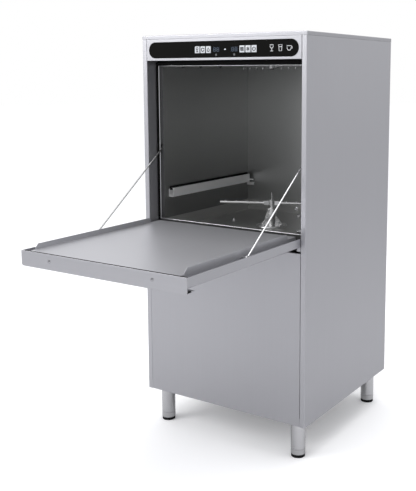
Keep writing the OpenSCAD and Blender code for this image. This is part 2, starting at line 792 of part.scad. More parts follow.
// Pipe from the overflow down and back to the spigot in the service recess
module drain_pipe() color([0.85, 0.85, 0.85]) from_front() {
    d = spigot_dia - 1;
    r = 44;
    x = drain_at[0];
    z = drain_at[1];
    collar_y = service_y + sheet + 0.2;
    pipe_z([x, overflow[1], z + r], d, sump_z - sheet - z - r);
    translate([x, overflow[1] + r, z]) rotate([90, 0, 0]) elbow([0, 0, 0], d, r, 90);
    pipe_y([x, overflow[1] + r, z], d, collar_y - overflow[1] - r);
    pipe_y([x, collar_y, z], spigot_dia + 8, 2, 6);
    pipe_y([x, collar_y + 2, z], spigot_dia, rear_y - collar_y - 2, 2);
}

// Gland for the mains lead: body, lock nut and clamping nut
module cable_gland() color(black) from_front() {
    x = gland_at[0];
    z = gland_at[1];
    difference() {
        union() {
            rod_y([x, service_y - 10, z], 20, 34);
            translate([x, service_y + sheet, z]) rotate([-90, 0, 0]) cylinder(d = 30, h = 6, $fn = 6);
            translate([x, service_y - 6, z]) rotate([-90, 0, 0]) cylinder(d = 30, h = 6, $fn = 6);
            rod_y([x, service_y + sheet + 9, z], 26, 18);
        }
        rod_y([x, service_y - 12, z], 12, 50);
    }
}

// Screws of the rear panel and of the leg plates
module panel_screws() color(steel) from_front() {
    both_sides() for (z = [service_z + 30, 480, 730, 980, body_top - 45])
        rod_y([pillar_x - 12, rear_y + sheet, z], 8, 1.8);
    both_sides() for (x = [60, 180]) rod_y([x, rear_y + sheet, body_top - 30], 8, 1.8);
    both_sides() for (y = [leg_front, leg_back]) {
        rod_z([leg_x, y, leg_h + plate_top], 16, 6);
        rod_z([leg_x, y, leg_h - 12], 9.8, 12 + plate_top);
    }
}

// Door ------------------------------------------------------------------

// Tray with a round-cornered front edge, two hinge blocks and a recess along each lower side.
// In front of the recess the front edge is stiffened by a hem.
module door_outer_skin() color(steel) from_front() {
    y0 = -door_reach;
    narrow_x = door_x - door_ledge;
    hem = 33;
    difference() {
        union() {
            translate([0, door_back, door_z]) rotate([90, 0, 0])
                linear_extrude(door_back + door_reach - sheet) difference() {
                    door_section(0);
                    door_section(sheet);
                }
            rounded_plate(0, door_z + door_t / 2, 2 * door_x, door_t, 7, y0, sheet);
            block(-door_x, door_x, y0, y0 + sheet, door_z + door_t / 2, door_top);
            block(-door_x + 1, door_x - 1, y0, y0 + 4, door_top - sheet, door_top);
            block(-narrow_x, narrow_x, door_back - sheet, door_back, door_z, door_z + 19);
            both_sides() {
                block(door_x - 13, door_x - sheet / 2, 2, 18, hinge_z - 7, hinge_z + 9);
                translate([narrow_x - 1, 0, 0]) rotate([90, 0, 90]) linear_extrude(door_ledge - 2)
                    polygon([[y0 + sheet, door_z + 1.5], [y0 + hem, door_z + 3],
                        [y0 + hem, door_z + 4.5], [y0 + sheet, door_z + 9]]);
            }
        }
        both_sides() rod_x([door_x - 16, hinge_y, hinge_z], 10 + 2 * run_clear, 20);
        for (x = door_screws) rod_y([x, y0 - 1, door_z + 24], 6.4, 3);
    }
}

// Half-open section of the door skin, moved in by the sheet thickness
module door_section(inset) {
    x = door_x - inset;
    x_low = door_x - door_ledge - inset;
    step = door_step + inset;
    top = inset > 0 ? door_t + 1 : door_t;
    polygon([[-x_low, inset], [x_low, inset], [x_low, step], [x, step], [x, top],
        [-x, top], [-x, step], [-x_low, step]]);
}

// Inner face with two upright guide flanges and, outside them, the grooves for the rods
module door_inner_panel() color([0.66, 0.67, 0.68]) from_front() {
    y0 = -door_reach + 8;
    flange_x = chamber_x - 5;
    groove_z = door_top - 22;
    block(-flange_x, flange_x, y0, door_back - 1.5, door_top - sheet, door_top);
    both_sides() {
        translate([flange_x, 0, 0]) rotate([90, 0, -90]) linear_extrude(sheet)
            polygon([[30, door_top - sheet], [door_reach - 25, door_top - sheet],
                [door_reach - 25, door_top + 4], [door_reach - 36, door_top + 15],
                [36, door_top + 15], [30, door_top + 9]]);
        difference() {
            block(flange_x - sheet, flange_x, y0, door_back - 1.5, groove_z, door_top - sheet);
            rod_x([flange_x - 3, rod_pin_y, rod_pin_z], pivot_dia + 0.1, 6);
        }
        block(flange_x, door_x - sheet - 0.2, y0, -3, groove_z, groove_z + sheet);
    }
}

// Pins that carry the stay rods, and the screws in the door's front edge
module door_fasteners() color(steel) from_front() {
    both_sides() {
        rod_x([chamber_x - 5 - sheet - 2.5, rod_pin_y, rod_pin_z], 9, 2.4);
        rod_x([chamber_x - 5 - sheet - 1, rod_pin_y, rod_pin_z], pivot_dia,
            rod_side + 3.6 - chamber_x + 6 + sheet);
        rod_x([rod_side + 2.3, rod_pin_y, rod_pin_z], 8, 1.5);
    }
    for (x = door_screws) rod_y([x, -door_reach + 1.4, door_z + 24], 6, 5);
}

// Frame of a stay rod: its lower pivot is at the origin and it runs along +Y
module along_rod() {
    translate([rod_side, rod_pin_y, rod_pin_z]) rotate([rod_tilt, 0, 0]) children();
}

// Round rod with an eye at the door and a nut behind its spring
module stay_rod() along_rod() {
    difference() {
        union() {
            rod_x([-2, 0, 0], 12, 4);
            rod_y([0, 4, 0], rod_dia, rod_span + rod_tail - 4);
            rod_y([0, rod_span + rod_tail - 14, 0], 11, 8);
        }
        rod_x([-4, 0, 0], pivot_dia + 2 * run_clear, 8);
    }
}

module stay_rod_right() color(steel) from_front() stay_rod();

module stay_rod_left() color(steel) from_front() mirror([1, 0, 0]) stay_rod();

// Points of one ring of a coil wire, and the ring's place on the helix
function helix_at(a, r, pitch) = [r * cos(a), pitch * a / 360, r * sin(a)];

function wire_ring(a, r, pitch, wire, sides) = [
    for (i = [0:sides - 1])
        let (b = i * 360 / sides)
            helix_at(a, r, pitch) + wire / 2 * (cos(b) * [cos(a), 0, sin(a)] + sin(b) * [0, 1, 0])
];

// Compression spring along Y, starting at the origin
module coil_spring(r, length, turns, wire) {
    sides = 8;
    step = 24;
    rings = turns * 360 / step;
    pitch = length / turns;
    points = [for (k = [0:rings]) each wire_ring(k * step, r, pitch, wire, sides)];
    skins = [for (k = [0:rings - 1], i = [0:sides - 1]) let (j = (i + 1) % sides)
        [k * sides + i, k * sides + j, (k + 1) * sides + j, (k + 1) * sides + i]];
    first = [[for (i = [0:sides - 1]) sides - 1 - i]];
    last = [[for (i = [0:sides - 1]) rings * sides + i]];
    polyhedron(points, concat(skins, first, last));
}

// Buffer spring on the rod's tail: it meets the guide when the door is open
module rod_spring() along_rod() translate([0, rod_span + 6.5, 0])
    coil_spring(4.6, rod_tail - 22.5, 9, 1.4);

module rod_spring_right() color([0.5, 0.5, 0.52]) from_front() rod_spring();

module rod_spring_left() color([0.5, 0.5, 0.52]) from_front() mirror([1, 0, 0]) rod_spring();

// Feet ------------------------------------------------------------------

// Screw foot: steel cup with a threaded stud up inside the leg tube
module foot(x, y) color([0.5, 0.5, 0.52]) from_front() translate([x, y, 0]) {
    cylinder(d = leg_dia - 2, h = 8);
    translate([0, 0, 8]) cylinder(d = leg_dia - 0.4, h = foot_h - 8);
    translate([0, 0, foot_h]) cylinder(d = stud_dia, h = stud_top - foot_h);
}

module foot_front_left() foot(-leg_x, leg_front);

module foot_front_right() foot(leg_x, leg_front);

module foot_back_left() foot(-leg_x, leg_back);

module foot_back_right() foot(leg_x, leg_back);

base_pan();
leg_tubes();
side_panel_left();
side_panel_right();
rear_panel();
top_panel();
control_fascia();
front_lower_panel();
chamber_wall_left();
chamber_wall_right();
chamber_wall_back();
chamber_ceiling();
tank_basin();
chamber_front_frame();
door_gasket();
rack_rail_left();
rack_rail_right();
hinge_brackets();
rod_guides();
control_overlay();
display_windows();
control_board();
lower_arm_support();
upper_arm_support();
riser_pipe();
pump_hoses();
wash_pump_casing();
wash_pump_motor();
rinse_boiler();
tank_heater();
tank_filter();
water_inlet_valve();
dosing_pumps();
electrical_box();
drain_pipe();
cable_gland();
panel_screws();
door_outer_skin();
door_inner_panel();
door_fasteners();
stay_rod_left();
stay_rod_right();
rod_spring_left();
rod_spring_right();
lower_wash_arm();
lower_rinse_arm();
upper_wash_arm();
upper_rinse_arm();
pump_rotor();
overflow_standpipe();
key_1();
key_2();
key_3();
key_4();
key_5();
key_6();
foot_front_left();
foot_front_right();
foot_back_left();
foot_back_right();
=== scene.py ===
import json
import math
import bmesh
import bpy
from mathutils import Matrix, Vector


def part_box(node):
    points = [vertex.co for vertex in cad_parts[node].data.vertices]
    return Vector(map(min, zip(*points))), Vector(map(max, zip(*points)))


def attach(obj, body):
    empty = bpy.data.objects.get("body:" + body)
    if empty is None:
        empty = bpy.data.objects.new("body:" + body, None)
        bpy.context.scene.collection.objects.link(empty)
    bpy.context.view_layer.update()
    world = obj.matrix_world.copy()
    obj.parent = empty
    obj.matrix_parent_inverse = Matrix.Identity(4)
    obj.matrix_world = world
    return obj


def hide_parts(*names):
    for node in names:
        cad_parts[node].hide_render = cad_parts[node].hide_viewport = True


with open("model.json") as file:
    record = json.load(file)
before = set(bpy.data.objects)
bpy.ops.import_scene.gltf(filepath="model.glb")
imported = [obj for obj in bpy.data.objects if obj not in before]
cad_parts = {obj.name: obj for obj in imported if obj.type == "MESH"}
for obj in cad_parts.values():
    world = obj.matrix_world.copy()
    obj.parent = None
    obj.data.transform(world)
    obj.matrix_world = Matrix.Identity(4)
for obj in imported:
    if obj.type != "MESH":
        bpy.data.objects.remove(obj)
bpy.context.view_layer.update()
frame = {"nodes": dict(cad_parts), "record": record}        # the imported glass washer: bodies, nodes, joints and record
NODES = frame["nodes"]
MM = 0.001

# Places that the pieces are worked out from, in mm: x, depth behind the front face, height ---

UP = Vector((0, 0, 1))
BACK = Vector((0, 1, 0))
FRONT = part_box("control_fascia")[0].y


def edges_of(node):
    """The node's box in mm: (left, front, low) and (right, back, high), depths behind the front face."""
    low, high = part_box(node)
    shift = Vector((0, FRONT, 0))
    return (low - shift) / MM, (high - shift) / MM


def point(x, depth, z):
    return Vector((x * MM, FRONT + depth * MM, z * MM))


overlay_low = edges_of("control_overlay")[0]
fascia_low = edges_of("control_fascia")[0]
frame_low = edges_of("chamber_front_frame")[0]
ceiling_low = edges_of("chamber_ceiling")[0]
tank_high = edges_of("tank_basin")[1]
rear_high = edges_of("rear_panel")[1]
door_low = edges_of("door_outer_skin")[0]
rail_low, rail_high = edges_of("rack_rail_right")
inlet_low, inlet_high = edges_of("water_inlet_valve")
gland_low, gland_high = edges_of("cable_gland")
screw_low, screw_high = edges_of("panel_screws")
KEYS = [f"key_{i}" for i in range(1, 7)]
KEY_EDGES = {name: edges_of(name) for name in KEYS}
KEY_Z = (KEY_EDGES["key_1"][0].z + KEY_EDGES["key_1"][1].z) / 2
PANEL_CENTRE = (KEY_EDGES["key_1"][0].x + KEY_EDGES["key_6"][1].x) / 2
DISPLAY_OFFSET = 33.0                # from the panel's centre to the middle of a display
WALL_X = 261.0                       # inner face of the chamber's side walls
CHAMBER_BACK = 550.0                 # depth of the chamber's back wall
LIP_Z = tank_high.z                  # bottom edge of the mouth
MOUTH_Z = ceiling_low.z - 37.0       # top edge of the mouth
TANK_FLOOR = tank_high.z - 38.0
DOOR_T = 42.0                        # thickness of the open door
DOOR_STEP = 17.0                     # height of the step along its outer edges
DOOR_STEP_X = 245.0                  # the step lies outside this distance from the middle
ROW_SHIFT = FRONT / MM               # turns a depth into the frame's own Y


# Material helpers --------------------------------------------------------------------

def principled(name):
    """A new node material: its tree and its Principled BSDF."""
    material = bpy.data.materials.new(name)
    material.use_nodes = True
    tree = material.node_tree
    return material, tree, tree.nodes["Principled BSDF"]


def object_place(tree):
    """A piece's own coordinates, in metres. On a CAD node they are the shared frame's."""
    return tree.nodes.new("ShaderNodeTexCoord").outputs["Object"]


def place_on(tree, axis):
    split = tree.nodes.new("ShaderNodeSeparateXYZ")
    tree.links.new(object_place(tree), split.inputs[0])
    return split.outputs[axis]


def math_node(tree, operation, a, b=None):
    node = tree.nodes.new("ShaderNodeMath")
    node.operation = operation
    for socket, value in zip(node.inputs, (a, b)):
        if isinstance(value, bpy.types.NodeSocket):
            tree.links.new(value, socket)
        elif value is not None:
            socket.default_value = value
    return node.outputs[0]


def tinted(colour, factor):
    return [min(1.0, c * factor) for c in colour]


def noise(tree, scale, stretch=(1, 1, 1), detail=3.0):
    """Noise from 0 to 1 over the piece's own coordinates, which are in metres."""
    mapping = tree.nodes.new("ShaderNodeMapping")
    mapping.inputs["Scale"].default_value = stretch
    tree.links.new(object_place(tree), mapping.inputs["Vector"])
    texture = tree.nodes.new("ShaderNodeTexNoise")
    texture.inputs["Scale"].default_value = scale
    texture.inputs["Detail"].default_value = detail
    tree.links.new(mapping.outputs["Vector"], texture.inputs["Vector"])
    return texture.outputs["Fac"]


def remap(tree, value, low, high, start=0.0, end=1.0):
    node = tree.nodes.new("ShaderNodeMapRange")
    node.inputs["From Min"].default_value = start
    node.inputs["From Max"].default_value = end
    node.inputs["To Min"].default_value = low
    node.inputs["To Max"].default_value = high
    tree.links.new(value, node.inputs["Value"])
    return node.outputs["Result"]


def blend_colour(tree, factor, first, second, mode="MIX"):
    node = tree.nodes.new("ShaderNodeMix")
    node.data_type = "RGBA"
    node.blend_type = mode
    for socket, value in ((node.inputs[0], factor), (node.inputs[6], first), (node.inputs[7], second)):
        if isinstance(value, bpy.types.NodeSocket):
            tree.links.new(value, socket)
        else:
            socket.default_value = value if isinstance(value, float) else (*value, 1.0)
    return node.outputs[2]


def add_bump(tree, shader, height, depth, strength=0.5, normal=None):
    bump = tree.nodes.new("ShaderNodeBump")
    bump.inputs["Strength"].default_value = strength
    bump.inputs["Distance"].default_value = depth
    tree.links.new(height, bump.inputs["Height"])
    if normal is not None:
        tree.links.new(normal, bump.inputs["Normal"])
    tree.links.new(bump.outputs["Normal"], shader.inputs["Normal"])


def softened_edges(tree, radius):
    """Normal of rounded edges, and a mask that is 1 on sharp outer edges and 0 on flat faces."""
    rounded = tree.nodes.new("ShaderNodeBevel")
    rounded.samples = 4
    rounded.inputs["Radius"].default_value = radius
    geometry = tree.nodes.new("ShaderNodeNewGeometry")
    dot = tree.nodes.new("ShaderNodeVectorMath")
    dot.operation = "DOT_PRODUCT"
    tree.links.new(rounded.outputs["Normal"], dot.inputs[0])
    tree.links.new(geometry.outputs["Normal"], dot.inputs[1])
    mask = remap(tree, dot.outputs["Value"], 1.0, 0.0, 0.8, 0.995)
    return rounded.outputs["Normal"], mask


GRAIN_ALONG = {"x": (0.012, 1, 1), "y": (1, 0.012, 1), "z": (1, 1, 0.012)}


def grain(tree, by_face, scale):
    """Brushed lines whose direction depends on which way a face looks. by_face names it for
    the faces that look along X, Y and Z."""
    place = tree.nodes.new("ShaderNodeTexCoord")
    split = tree.nodes.new("ShaderNodeSeparateXYZ")
    tree.links.new(place.outputs["Normal"], split.inputs[0])
    total = None
    for axis, along in zip("XYZ", by_face):
        facing = math_node(tree, "GREATER_THAN", math_node(tree, "ABSOLUTE", split.outputs[axis]), 0.7)
        share = math_node(tree, "MULTIPLY", noise(tree, scale, GRAIN_ALONG[along], 2.0), facing)
        total = share if total is None else math_node(tree, "ADD", total, share)
    return total


def zone(tree, tests):
    """1 where every test holds. A test is (axis, ABOVE or BELOW, limit in mm), and its axis
    "side" is the distance from the middle plane."""
    inside = None
    for axis, operation, limit in tests:
        if axis == "side":
            value = math_node(tree, "ABSOLUTE", place_on(tree, "X"))
        else:
            value = place_on(tree, axis)
        holds = math_node(tree, operation, value, limit * MM)
        inside = holds if inside is None else math_node(tree, "MULTIPLY", inside, holds)
    return inside


def painted_shade_fade(axis, dark, plain, factor):
    """Steel that is darker by a factor at one place along an axis, and unchanged at another, in mm:
    painted shade.
    """
    def painted_shade_tone(tree):
        return remap(tree, place_on(tree, axis), factor, 1.0, dark * MM, plain * MM)
    return painted_shade_tone


FINE_GRAIN = 900.0
STREAK_GRAIN = 160.0
SMUDGES = 5.0
PAINTED_SHADE_BLACK = (0.006, 0.006, 0.006)


def brushed_metal(name, colour, roughness, by_face="zzx", depth=0.005, wear_and_highlight=0.35, metallic=0.85,
                  painted_shade_zone=None, painted_shade_tone=None):
    """Stainless sheet: fine brushed lines, faint smudges and slightly polished soft edges, which are
    painted lighter, partly as wear and partly as a painted highlight. A tone darkens part of it as painted
    shade, and a given zone is painted black as painted shade."""
    material, tree, shader = principled(name)
    lines = grain(tree, by_face, FINE_GRAIN)
    streaks = grain(tree, by_face, STREAK_GRAIN)
    smudge = noise(tree, SMUDGES, (1, 1, 0.6), 4.0)
    darker = tinted(colour, 0.98)
    base = blend_colour(tree, remap(tree, streaks, 0.3, 0.7, 0.3, 0.7), darker, tinted(colour, 1.015))
    base = blend_colour(tree, remap(tree, smudge, 0.0, 0.3, 0.35, 0.75), base, darker)
    normal, edge = softened_edges(tree, 1.2 * MM)
    edge = math_node(tree, "MULTIPLY", edge, wear_and_highlight)
    # Lighter edges: partly worn edges and partly a painted highlight.
    base = blend_colour(tree, edge, base, tinted(colour, 1.25))
    if painted_shade_tone:
        base = blend_colour(tree, 1.0, base, painted_shade_tone(tree), "MULTIPLY")
    if painted_shade_zone:
        base = blend_colour(tree, zone(tree, painted_shade_zone), base, PAINTED_SHADE_BLACK)
    tree.links.new(base, shader.inputs["Base Color"])
    shader.inputs["Metallic"].default_value = metallic
    fine = remap(tree, lines, -0.03, 0.03)
    rough = math_node(tree, "ADD", fine, remap(tree, smudge, roughness - 0.03, roughness + 0.04))
    polish = math_node(tree, "MULTIPLY", edge, 0.1)
    tree.links.new(math_node(tree, "SUBTRACT", rough, polish), shader.inputs["Roughness"])
    add_bump(tree, shader, lines, depth * MM, 0.6, normal)
    return material


def moulded(name, colour, roughness, pitch=900.0, depth=0.05, variation=0.12, metallic=0.0,
            specular=0.5, glow=0.0):
    """Moulded plastic, rubber, print or cast metal: fine pebble, uneven sheen, rubbed soft edges."""
    material, tree, shader = principled(name)
    cloud = noise(tree, 14.0, detail=4.0)
    base = blend_colour(tree, cloud, tinted(colour, 1 - variation), tinted(colour, 1 + variation))
    normal, edge = softened_edges(tree, 0.6 * MM)
    rubbed = [min(1.0, c + 0.02) for c in tinted(colour, 1.3)]
    base = blend_colour(tree, math_node(tree, "MULTIPLY", edge, 0.3), base, rubbed)
    tree.links.new(base, shader.inputs["Base Color"])
    uneven = remap(tree, cloud, roughness - 0.06, roughness + 0.06, 0.3, 0.7)
    tree.links.new(uneven, shader.inputs["Roughness"])
    shader.inputs["Metallic"].default_value = metallic
    shader.inputs["Specular IOR Level"].default_value = specular
    if glow:
        tree.links.new(base, shader.inputs["Emission Color"])
        shader.inputs["Emission Strength"].default_value = glow
    add_bump(tree, shader, noise(tree, pitch, detail=2.0), depth * MM, 0.5, normal)
    return material


FOOT_PAD_H = 9.5


def foot_metal(name, colour):
    """Turned stainless cup whose lowest part is a dark moulded pad."""
    material, tree, shader = principled(name)
    pad = math_node(tree, "LESS_THAN", place_on(tree, "Z"), FOOT_PAD_H * MM)
    lines = noise(tree, 700.0, (1, 1, 12), 2.0)
    metal = blend_colour(tree, lines, tinted(colour, 0.85), colour)
    base = blend_colour(tree, pad, metal, (0.012, 0.012, 0.013))
    tree.links.new(base, shader.inputs["Base Color"])
    tree.links.new(math_node(tree, "SUBTRACT", 1.0, pad), shader.inputs["Metallic"])
    duller = math_node(tree, "MULTIPLY", pad, 0.3)
    rough = math_node(tree, "ADD", remap(tree, lines, 0.26, 0.38), duller)
    tree.links.new(rough, shader.inputs["Roughness"])
    shader.inputs["Specular IOR Level"].default_value = 0.06
    add_bump(tree, shader, lines, 0.02 * MM)
    return material


def circuit_board(name, colour):
    """Green board with darker tracks and small bright solder points."""
    material, tree, shader = principled(name)
    tracks = tree.nodes.new("ShaderNodeTexBrick")
    tracks.inputs["Scale"].default_value = 90.0
    tracks.inputs["Color1"].default_value = (*colour, 1)
    tracks.inputs["Color2"].default_value = (*tinted(colour, 1.3), 1)
    tracks.inputs["Mortar"].default_value = (*tinted(colour, 0.55), 1)
    tree.links.new(object_place(tree), tracks.inputs["Vector"])
    dots = tree.nodes.new("ShaderNodeTexVoronoi")
    dots.inputs["Scale"].default_value = 260.0
    tree.links.new(object_place(tree), dots.inputs["Vector"])
    solder = remap(tree, dots.outputs["Distance"], 1.0, 0.0, 0.1, 0.2)
    base = blend_colour(tree, solder, tracks.outputs["Color"], (0.6, 0.6, 0.58))
    tree.links.new(base, shader.inputs["Base Color"])
    tree.links.new(remap(tree, noise(tree, 40.0), 0.3, 0.5), shader.inputs["Roughness"])
    add_bump(tree, shader, dots.outputs["Distance"], 0.1 * MM, 0.4)
    return material


# One material for each slot of the record ---------------------------------------------

ABOVE, BELOW = "GREATER_THAN", "LESS_THAN"
CASING = (0.44, 0.44, 0.465)
WALL_TOP = 1000.0                    # height at which the painted shade on the chamber's walls ends

# Zones of steel that are painted black as painted shade, for the dark gaps of the machine: the fascia's
# underside, the inside of the door's lip at its two ends, and the frame above the mouth.
SKIN = 1.3                           # just over one sheet
LIP_DEPTH = 20.0
LIP_Y = ROW_SHIFT + door_low.y
UNDER_FASCIA = [("Z", BELOW, fascia_low.z + SKIN), ("Y", ABOVE, ROW_SHIFT + SKIN)]
INSIDE_LIP = [("side", ABOVE, DOOR_STEP_X), ("Z", BELOW, door_low.z + DOOR_STEP + 0.3),
              ("Y", ABOVE, LIP_Y + SKIN), ("Y", BELOW, LIP_Y + LIP_DEPTH)]
ABOVE_MOUTH = [("Z", ABOVE, MOUTH_Z + 2.2)]
MATERIALS = {
    "brushed_casing": brushed_metal("brushed_casing", tinted(CASING, 1.06), 0.36),
    "door_inner": brushed_metal("door_inner", (0.445, 0.445, 0.47), 0.40, "yzy", metallic=0.65),
    "leg_steel": brushed_metal("leg_steel", (0.64, 0.64, 0.655), 0.16, "zzx", 0.02, metallic=1.0),
    "chamber_steel": brushed_metal("chamber_steel", (0.36, 0.365, 0.36), 0.34, "zzy"),
    "plain_steel": brushed_metal("plain_steel", (0.52, 0.52, 0.53), 0.38, "yxy"),
    "arm_steel": brushed_metal("arm_steel", (0.66, 0.66, 0.66), 0.24, "xxx"),
    "bright_steel": brushed_metal("bright_steel", (0.80, 0.80, 0.82), 0.16, "yyy", 0.004, 0.2, 1.0),
    "pipe_steel": brushed_metal("pipe_steel", (0.50, 0.50, 0.51), 0.30, "zzx"),
    "rubber": moulded("rubber", (0.008, 0.008, 0.008), 0.70, 1200.0, 0.06, specular=0.06),
    "black_plastic": moulded("black_plastic", (0.020, 0.020, 0.022), 0.48, 1500.0, 0.04,
                             specular=0.25),
    "overlay_black": moulded("overlay_black", (0.005, 0.005, 0.0045), 0.42, 2600.0, 0.012, 0.2,
                             specular=0.03),
    "display_glass": moulded("display_glass", (0.008, 0.011, 0.018), 0.20, 60.0, 0.004, 0.25,
                             specular=0.06),
    "key_white": moulded("key_white", (0.58, 0.60, 0.63), 0.38, 2200.0, 0.015, 0.05),
    "circuit_board": circuit_board("circuit_board", (0.02, 0.11, 0.05)),
    "motor_metal": moulded("motor_metal", (0.36, 0.37, 0.39), 0.45, 500.0, 0.15, 0.1, 0.9),
    "box_grey": moulded("box_grey", (0.32, 0.33, 0.32), 0.50, 700.0, 0.06, 0.06),
    "white_plastic": moulded("white_plastic", (0.66, 0.66, 0.62), 0.42, 900.0, 0.04, 0.05),
    "foot_metal": foot_metal("foot_metal", (0.62, 0.62, 0.63)),
}
# The chamber's side walls are painted darker towards the tank, to 0.45 at the lip: painted shade.
WALL_STEEL_PAINTED_SHADE = brushed_metal("wall_steel_painted_shade", (0.42, 0.425, 0.42), 0.36, "zzy",
                           painted_shade_tone=painted_shade_fade("Z", LIP_Z, WALL_TOP, 0.45))
# The upper arm and its support are a dark copy of the arm steel, 0.14, for the shade they lie in: painted
# shade.
UPPER_ARM_STEEL = brushed_metal("upper_arm_painted_shade", (0.14, 0.14, 0.14), 0.35, "xxx")
# The rails are a much lighter copy of the steel, 0.95, for how brightly they are lit: painted light.
RAIL_STEEL = brushed_metal("rail_steel_painted_light", (0.95, 0.95, 0.95), 0.30, "yxy", metallic=0.6)
OWN_MATERIAL = {
    "door_outer_skin": brushed_metal("door_skin", tinted(CASING, 1.02), 0.34, "zxx", painted_shade_zone=INSIDE_LIP),
    "front_lower_panel": brushed_metal("lower_front_skin", CASING, 0.36),
    # The lid is a slightly darker copy of the casing steel (0.96), to damp the bright reflection on its
    # rounded front edge: painted shade.
    "top_panel": brushed_metal("lid_skin", tinted(CASING, 0.96), 0.38, "xxx", wear_and_highlight=0.0),
    "control_fascia": brushed_metal("fascia_skin", CASING, 0.36, "zzx", painted_shade_zone=UNDER_FASCIA),
    # The mouth's frame is a much darker copy of the steel, 0.11, for the shade it lies in: painted shade.
    "chamber_front_frame": brushed_metal("frame_steel_painted_shade", (0.11, 0.11, 0.11), 0.42, "zzx",
                                         painted_shade_zone=ABOVE_MOUTH),
    "door_fasteners": brushed_metal("fastener_steel", (0.34, 0.34, 0.35), 0.34, "yyy"),
    # The two stay rods are the same steel: the left one painted darker (0.34) and the right one lighter
    # (0.66), for how light falls on each: painted shade and painted light.
    "stay_rod_left": brushed_metal("rod_steel_left_painted_shade", (0.34, 0.34, 0.34), 0.22, "yyy", 0.003),
    "stay_rod_right": brushed_metal("rod_steel_right_painted_light", (0.66, 0.66, 0.67), 0.20, "yyy", 0.003),
    "chamber_wall_left": WALL_STEEL_PAINTED_SHADE,
    "chamber_wall_right": WALL_STEEL_PAINTED_SHADE,
    "tank_basin": brushed_metal("tank_steel", (0.44, 0.44, 0.435), 0.36, "yyx"),
    "upper_wash_arm": UPPER_ARM_STEEL,
    "upper_arm_support": UPPER_ARM_STEEL,
    "rack_rail_left": RAIL_STEEL,
    "rack_rail_right": RAIL_STEEL,
}
RIM_STEEL = moulded("rim_steel", (0.80, 0.80, 0.81), 0.32, 700.0, 0.002, 0.04, metallic=1.0)
CAP_STEEL = brushed_metal("cap_steel", (0.36, 0.36, 0.38), 0.36, "xxx")
# The rail stops are the same light copy of the steel, 0.95, for how brightly they are lit: painted light.
CLIP_STEEL = brushed_metal("clip_steel_painted_light", (0.95, 0.95, 0.95), 0.30, "yyy", metallic=0.4)
DARK_STEEL = brushed_metal("dark_steel", (0.05, 0.05, 0.05), 0.45, "zzx")
DARK_INK = moulded("dark_ink", (0.012, 0.013, 0.016), 0.5, 1800.0, 0.01, specular=0.1)
PALE_INK = moulded("pale_ink", (0.66, 0.67, 0.69), 0.5, 1800.0, 0.01)
LIT_SEGMENT = moulded("lit_segment", (0.040, 0.058, 0.082), 0.4, 1800.0, 0.01, glow=0.25)
LIT_LAMP = moulded("lit_lamp", (0.74, 0.78, 0.84), 0.25, 1800.0, 0.01, glow=0.1)
GREY_LAMP = moulded("grey_lamp", (0.10, 0.105, 0.11), 0.35, 1800.0, 0.01)


def dress_nodes():
    """Own material of a node where it has one, and its slot's material elsewhere."""
    for row in frame["record"]["subparts"]:
        node = NODES[row["node"]]
        node.data.materials.clear()
        node.data.materials.append(OWN_MATERIAL.get(row["node"], MATERIALS[row["material_slot"]]))


# Mesh helpers ----------------------------------------------------------------------------

def add_piece(name, shape, slot, material=None, body="cabinet", stands_for=()):
    """Turns a bmesh into a piece that rides on a body, smooth except at its sharp edges."""
    bmesh.ops.recalc_face_normals(shape, faces=shape.faces)
    for face in shape.faces:
        face.smooth = True
    for edge in shape.edges:
        edge.smooth = edge.calc_face_angle(math.pi) < math.radians(35)
    mesh = bpy.data.meshes.new(name)
    shape.to_mesh(mesh)
    shape.free()
    mesh.materials.append(material or MATERIALS[slot])
    item = bpy.data.objects.new(name, mesh)
    bpy.context.scene.collection.objects.link(item)
    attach(item, body)
    if stands_for:
        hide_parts(*stands_for)
    return item


def loft(shape, rings, tube=False):
    """Skin through rings of equal length. A tube joins its last ring to its first and has no ends."""
    rows = [[shape.verts.new(p) for p in ring] for ring in rings]
    pairs = list(zip(rows, rows[1:]))
    if tube:
        pairs.append((rows[-1], rows[0]))
    for low, high in pairs:
        for i in range(len(low)):
            j = (i + 1) % len(low)
            shape.faces.new((low[i], low[j], high[j], high[i]))
    if not tube:
        shape.faces.new(rows[0])
        shape.faces.new(rows[-1])


def turned(shape, place, axis, profile, sides=32, tube=False, swell=None):
    """Round body about an axis through a place. profile is (radius, distance) in mm, and
    swell(step, row) scales the radius from side to side."""
    first = axis.orthogonal().normalized()
    second = axis.cross(first)
    rings = []
    for row, (radius, distance) in enumerate(profile):
        ring = []
        for step in range(sides):
            angle = 2 * math.pi * step / sides
            scale = radius * MM * (swell(step, row) if swell else 1.0)
            spoke = first * math.cos(angle) + second * math.sin(angle)
            ring.append(place + axis * distance * MM + spoke * scale)
        rings.append(ring)
    loft(shape, rings, tube)


def arc(x, z, radius, start, end, steps=10):
    """Points (x, z) along an arc, with its angles in degrees from +X towards +Z."""
    angles = [math.radians(start + (end - start) * i / steps) for i in range(steps + 1)]
    return [(x + radius * math.cos(a), z + radius * math.sin(a)) for a in angles]


def scaled(x, z, size, shape_points):
    """Points (x, z) of a picture that is drawn from -1 to 1."""
    return [(x + size * a, z + size * b) for a, b in shape_points]


def rounded_outline(x, z, width, height, radius):
    corners = []
    for sx, sz, start in ((1, 1, 0), (-1, 1, 90), (-1, -1, 180), (1, -1, 270)):
        cx = x + sx * (width / 2 - radius)
        cz = z + sz * (height / 2 - radius)
        corners += arc(cx, cz, radius, start, start + 90, 5)
    return corners


def ring_at(outline, depth):
    return [point(x, depth, z) for x, z in outline]


